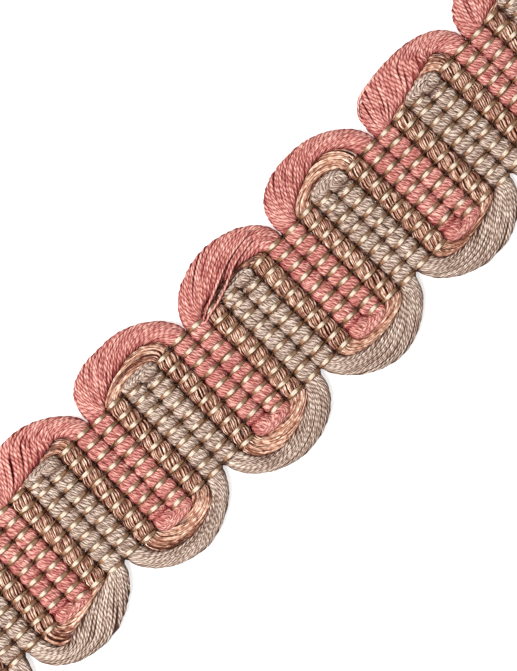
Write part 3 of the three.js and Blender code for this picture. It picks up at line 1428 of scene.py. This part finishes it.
@dataclass
class PairedBundle(Bundle):
    """Pairs of ribs, with a scallop at the bundle's own edge of the tape and a close turn at the other."""

    def _paired_runs(
        self,
        edges: tuple[EdgeForm, EdgeForm],
        scallops: tuple[tuple[Scallop, ...], tuple[Scallop, ...]],
        place: int,
        pairs: tuple[Pair, Pair],
    ) -> list[Stations]:
        """The ribs and turns of such a bundle.

        Args:
            edges: its own edge and the other.
            scallops: its own, and those that its close turns lie in.
            place: of its first rib in the repeat.
            pairs: how the first rib of each pair stands to the second, and the second to the first.

        Returns:
            The runs, in order.
        """
        own, other = edges
        headings = (Heading.TO_TAUPE_EDGE, Heading.TO_ROSE_EDGE)[:: own.edge.value]
        runs = []
        for n, (shape, around) in enumerate(zip(*scallops)):
            first = LAYOUT.first_rib + place + n * LAYOUT.ribs_a_repeat
            runs += [
                own.scallop(first - LAYOUT.scallop_ribs, self.turn_twist, shape).stations(),
                RIB_FORM.stations(first, headings[0], self.rib_twist, pairs[0]),
                other.close_turn(first, self.rib_twist, around).stations(),
                RIB_FORM.stations(first + 1, headings[1], self.rib_twist, pairs[1]),
            ]
        return runs


class RoseBundle(PairedBundle):
    """The bundle with its scallops on the rose edge, and with a few yarns that have slipped out of them."""

    def runs(self) -> list[Stations]:
        """The bundle's ribs and turns, in order."""
        first = Pair(on_left=True, turn_at_end=True, held=False)
        second = Pair(on_left=True, turn_at_start=True)
        scallops = (ROSE_SCALLOPS, TAUPE_SCALLOPS)
        return self._paired_runs((ROSE_EDGE, TAUPE_EDGE), scallops, 0, (first, second))

    def _add_loose(self, mesh: TubeMesh) -> None:
        """Adds the yarns that have slipped out of their scallops.

        Args:
            mesh: what they are added to.
        """
        for n, strand in enumerate(LOOSE_STRANDS):
            path = strand.path()
            across, up = self._section(path)
            lie = np.tile(strand.lie, (len(path), 1))
            mesh.add(path, across * self.yarn_radius, up * self.yarn_radius, lie, strand.map_step * n)


class TaupeBundle(PairedBundle):
    """The same, the other way up and further on."""

    def runs(self) -> list[Stations]:
        """The bundle's ribs and turns, in order."""
        first = Pair(on_right=True, turn_at_end=True)
        second = Pair(on_right=True, turn_at_start=True, held=False)
        scallops = (TAUPE_SCALLOPS, NEXT_ROSE_SCALLOPS)
        return self._paired_runs((TAUPE_EDGE, ROSE_EDGE), scallops, LAYOUT.taupe_place, (first, second))


class CopperBundle(Bundle):
    """Single ribs between the pairs, with an arc inside each scallop."""

    def runs(self) -> list[Stations]:
        """The bundle's ribs and turns, in order."""
        runs = []
        for n, (taupe, rose) in enumerate(zip(TAUPE_SCALLOPS, NEXT_ROSE_SCALLOPS)):
            place = LAYOUT.first_rib + LAYOUT.copper_place + n * LAYOUT.ribs_a_repeat
            runs += [
                TAUPE_EDGE.copper_arc(place - LAYOUT.arc_ribs, self.turn_twist, taupe).stations(),
                RIB_FORM.stations(place, Heading.TO_ROSE_EDGE, self.rib_twist),
                ROSE_EDGE.copper_arc(place, self.turn_twist, rose).stations(),
                RIB_FORM.stations(place + LAYOUT.arc_ribs, Heading.TO_TAUPE_EDGE, self.rib_twist),
            ]
        return runs


@dataclass
class WarpLines:
    """The fine threads that bind the ribs.

    In each line two threads take turns over and under them, and a finer one runs over all, beside the floats.
    """

    slot: str = "warp_thread"
    width: float = 0.62
    tucked_width: float = 0.3
    narrowing: float = 1.4  # how early a float narrows towards its ends
    girth: float = 2.6  # once round a thread, beside its width
    thickness: float = 0.2
    sides: int = 8
    apart: float = 0.2  # sideways between a line's two threads
    sway: float = 0.1  # how far a float lies aside at most
    tilt: float = 0.14  # and how far its ends do, each its own way
    arch: float = 0.8
    top: float = 2.38
    bottom: float = 0.12
    steps_a_rib: int = 9
    fine_thickness: float = 0.15
    fine_beside: float = 0.36
    fine_range: tuple[float, float] = (0.75, 1.1)  # and how much of that it is at each rib
    fine_change: float = 0.4  # how often it goes over to the other side of the floats
    fine_low: float = 1.5
    fine_top: float = 2.28
    fine_steps_a_rib: int = 6
    finish: BindingThread = WARP_FINISH

    def _is_free(self, line: int, rib: int) -> bool:
        """Whether a close turn swells over the place where a warp line would hold a rib down.

        Args:
            line: which warp line, from the rose edge.
            rib: which rib, from the left.

        Returns:
            True where no thread passes over.
        """
        spot = (line, rib % LAYOUT.ribs_a_repeat)
        return spot in ((0, LAYOUT.taupe_place + 1), (LAYOUT.warp_lines - 1, 0))

    def _turn_shift(self, line: int, rib: int) -> float:
        """How far a close turn pushes a warp line along the rib beside the one that it swells over.

        Args:
            line: which warp line, from the rose edge.
            rib: which rib, from the left.

        Returns:
            Millimetres in the direction of y.
        """
        spot = (line, rib % LAYOUT.ribs_a_repeat)
        ways = {(0, LAYOUT.taupe_place): -1, (LAYOUT.warp_lines - 1, 1): 1}
        return ways.get(spot, 0) * RIB_FORM.turn_shift

    def _path(self, line: int, over_even: bool, rng: random.Random) -> np.ndarray:
        """One thread's way from cut to cut.

        Args:
            line: which warp line it belongs to, from the rose edge.
            over_even: whether it passes over the first rib.
            rng: the source of chance.

        Returns:
            Rows of x, y, z, the place over the rib from 0 to 1, and that float's chance.
        """
        y = LAYOUT.line_y(line) + (self.apart / 2 if over_even else -self.apart / 2)
        rows = []
        middle, rise = (self.top + self.bottom) / 2, (self.top - self.bottom) / 2
        for n in range(LAYOUT.rib_count):
            over = (n % 2 == 0) == over_even and not self._is_free(line, n)
            sway = rng.uniform(-self.sway, self.sway) + self._turn_shift(line, n)
            chance, tilt = rng.random(), rng.uniform(-self.tilt, self.tilt)
            for step in range(self.steps_a_rib):
                angle = math.pi * (step + 0.5) / self.steps_a_rib
                place = -math.cos(angle)
                x = (LAYOUT.first_rib + n + 0.5 * place) * LAYOUT.rib_pitch
                lift = rise * math.sin(angle) ** self.arch * (1 if over else -1)
                aside = (sway + tilt * place) * math.sin(angle)
                rows.append((x, y + aside, middle + lift, 0.5 + 0.5 * place, chance))
        return np.array(rows)

    def _fine_path(self, line: int, rng: random.Random) -> np.ndarray:
        """The way of a line's finer thread, in rows as above.

        Args:
            line: which warp line it belongs to, from the rose edge.
            rng: the source of chance.

        Returns:
            The rows.
        """
        y = LAYOUT.line_y(line)
        rows = []
        side = rng.choice((-1, 1))
        for n in range(LAYOUT.rib_count):
            side = -side if rng.random() < self.fine_change else side
            beside = side * self.fine_beside * rng.uniform(*self.fine_range) + self._turn_shift(line, n)
            high = self.fine_low if self._is_free(line, n) else self.fine_top
            for step in range(self.fine_steps_a_rib):
                angle = math.pi * (step + 0.5) / self.fine_steps_a_rib
                x = (LAYOUT.first_rib + n - 0.5 * math.cos(angle)) * LAYOUT.rib_pitch
                z = self.fine_low + (high - self.fine_low) * math.sin(angle) ** self.arch
                rows.append((x, y + beside * math.sin(angle) ** 0.5, z, 0.5 - 0.5 * math.cos(angle), 0.5))
        return np.array(rows)

    def _add(
        self, mesh: TubeMesh, rows: np.ndarray, width: np.ndarray, thick: float, plain: float, start: float
    ) -> None:
        """Adds a thread to the mesh.

        Args:
            mesh: what it is added to.
            rows: its way.
            width: how wide it is at each row.
            thick: how thick it is.
            plain: 0 for a thread whose floats shine, 1 for a plain one.
            start: where its yarn map starts, in millimetres.
        """
        path = rows[:, :3]
        across = np.tile([0.0, -1.0, 0.0], (len(path), 1))
        up = np.cross(across, way_along(path))
        up /= np.linalg.norm(up, axis=1)[:, None]
        lie = np.stack([rows[:, 3], rows[:, 4], np.full(len(rows), plain)], axis=1)
        mesh.add(path, across * width[:, None] / 2, up * thick / 2, lie, start)

    def build(self, bound: list[bpy.types.Object]) -> bpy.types.Object:
        """Args:
            bound: the pieces that they bind. It is not used.

        Returns:
            The piece.
        """
        rng = random.Random(SEED)
        mesh = TubeMesh(self.sides)
        for line in range(LAYOUT.warp_lines):
            for over_even in (True, False):
                rows = self._path(line, over_even, rng)
                place = rows[:, 3] * 2 - 1
                fullness = (1 - place**2) ** self.narrowing
                width = self.tucked_width + (self.width - self.tucked_width) * fullness
                self._add(mesh, rows, width, self.thickness, 0.0, rng.uniform(0, MAP_REACH))
            rows = self._fine_path(line, rng)
            width = np.full(len(rows), self.fine_thickness)
            self._add(mesh, rows, width, self.fine_thickness, 1.0, rng.uniform(0, MAP_REACH))
        piece = mesh.build("warp_lines", self.width * self.girth)
        piece.data.materials.append(self.finish.material(self.slot))
        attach(piece, "root")
        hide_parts(*(f"warp_line_{n + 1}" for n in range(LAYOUT.warp_lines)))
        return piece


@dataclass(frozen=True)
class Lamp:
    """An area light that points at the tape."""

    name: str
    place: tuple[float, float, float]
    size: float
    power: float
    colour: Colour

    def build(self) -> None:
        """Adds the light."""
        data = bpy.data.lights.new(self.name, "AREA")
        data.size, data.energy, data.color = self.size * MM, self.power, self.colour
        lamp = bpy.data.objects.new(self.name, data)
        lamp.location = Vector(self.place) * MM
        lamp.rotation_mode = "QUATERNION"
        lamp.rotation_quaternion = (-Vector(self.place)).to_track_quat("-Z", "Y")
        bpy.context.scene.collection.objects.link(lamp)


@dataclass
class Studio:
    """The white table, the soft light and the camera."""

    picture: tuple[int, int] = (517, 671)
    pixels_a_mm: float = 7.0
    aim: tuple[float, float] = (0.41, 0.43)
    roll: float = -45.0
    lens: float = 100.0
    sensor: float = 36.0
    clip: tuple[float, float] = (10.0, 10000.0)
    table_size: float = 3000.0
    table_drop: float = 0.05  # below the tape's underside
    table_grey: float = 0.7
    table_glow: float = 0.6
    key: Lamp = Lamp("key", (-330.0, 140.0, 620.0), 360.0, 6.6, (1.0, 0.98, 0.95))
    fill: Lamp = Lamp("fill", (360.0, -260.0, 620.0), 500.0, 1.0, (1.0, 0.97, 0.93))
    world: float = 0.26

    def camera(self) -> None:
        """Looks straight down, with the tape running from the lower left to the upper right."""
        data = bpy.data.cameras.new("camera")
        data.lens, data.sensor_width = self.lens, self.sensor
        long_side = max(self.picture) / self.pixels_a_mm
        height = long_side / self.sensor * self.lens + RIB_FORM.bulge_top / 2
        data.clip_start, data.clip_end = (distance * MM for distance in self.clip)
        camera = bpy.data.objects.new("camera", data)
        camera.location = Vector((self.aim[0], self.aim[1], height)) * MM
        camera.rotation_euler = (0.0, 0.0, math.radians(self.roll))
        bpy.context.scene.collection.objects.link(camera)
        bpy.context.scene.camera = camera

    def _table(self) -> None:
        """Adds the table."""
        half, drop = self.table_size / 2 * MM, self.table_drop * MM
        mesh = bpy.data.meshes.new("table")
        corners = [(-half, -half, -drop), (half, -half, -drop), (half, half, -drop), (-half, half, -drop)]
        mesh.from_pydata(corners, [], [(0, 1, 2, 3)])
        table = bpy.data.objects.new("table", mesh)
        shader = Shader("white_table")
        grey = self.table_grey
        shader.principled.inputs["Base Color"].default_value = (grey, grey, grey, 1)
        shader.principled.inputs["Emission Color"].default_value = (1, 1, 1, 1)
        shader.settle(Roughness=0.9, Specular_IOR_Level=0.1, Emission_Strength=self.table_glow)
        mesh.materials.append(shader.material)
        bpy.context.scene.collection.objects.link(table)

    def build(self) -> None:
        """Makes the table, the lights and the world."""
        self._table()
        self.key.build()
        self.fill.build()
        world = bpy.data.worlds.new("studio")
        world.use_nodes = True
        background = world.node_tree.nodes["Background"]
        background.inputs["Color"].default_value = (1, 1, 1, 1)
        background.inputs["Strength"].default_value = self.world
        bpy.context.scene.world = world
        bpy.context.scene.view_settings.view_transform = "Standard"


def main() -> None:
    """Builds the tape, then the studio round it."""
    logging.basicConfig(level=logging.INFO, format="%(name)s: %(message)s")
    studio = Studio()
    studio.camera()
    bundles = (
        # The rose ribs get more painted shade all over.
        RoseBundle("rose_bundle", "rose_yarn", ROSE_FINISH, seed=1, rib_shade=0.16),
        CopperBundle(
            "copper_bundle",
            "copper_yarn",
            COPPER_FINISH,
            seed=2,
            yarn_radius=0.18,
            surface_yarns=28,
            rib_twist=0.3,
            turn_twist=0.15,
            wander=0.05,
            turn_wander=2.2,
            rib_closeness=0.0,
            turn_closeness=0.45,
            # painted shade between four locks in the turns
            locks=4,
        ),
        TaupeBundle("taupe_bundle", "taupe_yarn", TAUPE_FINISH, seed=3, turn_twist=-0.16, rib_closeness=0.4),
    )
    yarns = [piece for bundle in bundles for piece in bundle.build()]
    warp = WarpLines().build(yarns)
    for piece in (*yarns, warp):
        log.info("%s: %d faces", piece.name, len(piece.data.polygons))
    studio.build()


if __name__ == "__main__":
    main()
